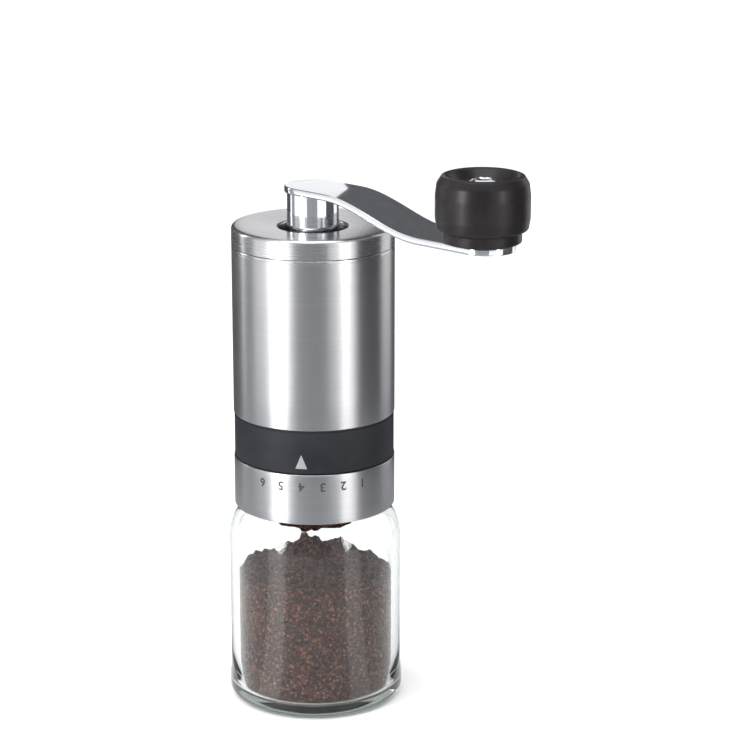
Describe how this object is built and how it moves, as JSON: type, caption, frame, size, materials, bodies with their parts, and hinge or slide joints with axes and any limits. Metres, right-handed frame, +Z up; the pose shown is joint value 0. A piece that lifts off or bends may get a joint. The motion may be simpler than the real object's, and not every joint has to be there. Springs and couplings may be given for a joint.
{
  "type": "hand crank coffee grinder",
  "caption": "Manual coffee grinder: glass jar with ground coffee, brushed steel body with adjuster ring, hopper, conical burrs, steel lid and S-bent crank with a black knob.",
  "frame": {"origin": "centre of the jar's base, on the surface that it stands on", "axes": "+Z up along the common axis of jar, body and shaft; +X from the shaft towards the crank's knob at rest"},
  "size_m": [0.1372, 0.0694, 0.2236],
  "materials": {
    "clear_glass": "clear pressed glass, very faint green tint",
    "coffee": "dry ground coffee, granular, dark reddish brown",
    "black_rubber": "soft black silicone",
    "black_plastic": "satin black moulded plastic",
    "band_plastic": "matt charcoal plastic",
    "brushed_steel": "stainless steel brushed around the axis",
    "rim_steel": "turned stainless steel, finely polished",
    "lid_steel": "stainless steel, circular brushing",
    "gloss_black": "glossy black moulded plastic",
    "grey_plastic": "mid grey plastic",
    "bright_steel": "bright machined steel",
    "bronze": "sintered bronze",
    "ceramic": "unglazed off-white ceramic",
    "chrome": "mirror chrome plate",
    "knob_plastic": "satin black plastic with a slight warm cast"
  },
  "bodies": {
    "jar": {"glass_jar": "clear_glass", "ground_coffee": "coffee"},
    "seal": {"jar_seal": "black_rubber"},
    "head": {"head_frame": "black_plastic", "index_band": "band_plastic", "outer_sleeve": "brushed_steel", "sleeve_rim": "rim_steel", "hopper_liner": "gloss_black", "bearing_bridge": "gloss_black", "bearing_housing": "grey_plastic", "upper_bearing": "bright_steel", "lower_bearing": "bronze"},
    "ring": {"ring_skin": "brushed_steel", "adjuster_core": "black_plastic"},
    "carrier": {"burr_carrier": "black_plastic", "outer_burr": "ceramic"},
    "shaft": {"drive_shaft": "bright_steel", "shaft_nut": "bright_steel", "thrust_washer": "bright_steel", "thrust_spring": "bright_steel", "inner_burr": "ceramic", "burr_washer": "bright_steel", "burr_nut": "bright_steel"},
    "lid": {"lid_cover": "lid_steel", "lid_plug": "black_plastic", "lid_seal": "black_rubber"},
    "crank": {"crank_arm": "chrome", "crank_hub": "chrome", "drive_socket": "black_plastic", "knob_bushing": "bright_steel", "knob_screw": "chrome"},
    "knob": {"knob": "knob_plastic"}
  },
  "joints": [
    {"name": "head_rise", "type": "slide", "parent": "jar", "child": "seal", "axis": [0, 0, 1], "range_m": [0, 0.0165]},
    {"name": "head_unscrew", "type": "hinge", "parent": "seal", "child": "head", "pos_m": [0, 0, 0.0944], "axis": [0, 0, 1], "range_deg": [0, 1080]},
    {"name": "adjuster_turn", "type": "hinge", "parent": "head", "child": "ring", "pos_m": [0, 0, 0.0906], "axis": [0, 0, 1], "range_deg": [-45, 30]},
    {"name": "burr_travel", "type": "slide", "parent": "ring", "child": "carrier", "axis": [0, 0, 1], "range_m": [-0.00075, 0.0005]},
    {"name": "crank_turn", "type": "hinge", "parent": "head", "child": "shaft", "pos_m": [0, 0, 0.16], "axis": [0, 0, 1], "continuous": true},
    {"name": "crank_lift", "type": "slide", "parent": "shaft", "child": "crank", "axis": [0, 0, 1], "range_m": [0, 0.042]},
    {"name": "lid_lift", "type": "slide", "parent": "head", "child": "lid", "axis": [0, 0, 1], "range_m": [0, 0.021]},
    {"name": "knob_spin", "type": "hinge", "parent": "crank", "child": "knob", "pos_m": [0.085, 0, 0.21], "axis": [0, 0, 1], "continuous": true}
  ],
  "couplings": [
    {"joint": "head_rise", "follows": "head_unscrew", "m_per_rad": 0.00087535},
    {"joint": "burr_travel", "follows": "adjuster_turn", "m_per_rad": 0.00095493},
    {"joint": "lid_lift", "follows": "crank_lift", "ratio": 0.5}
  ]
}
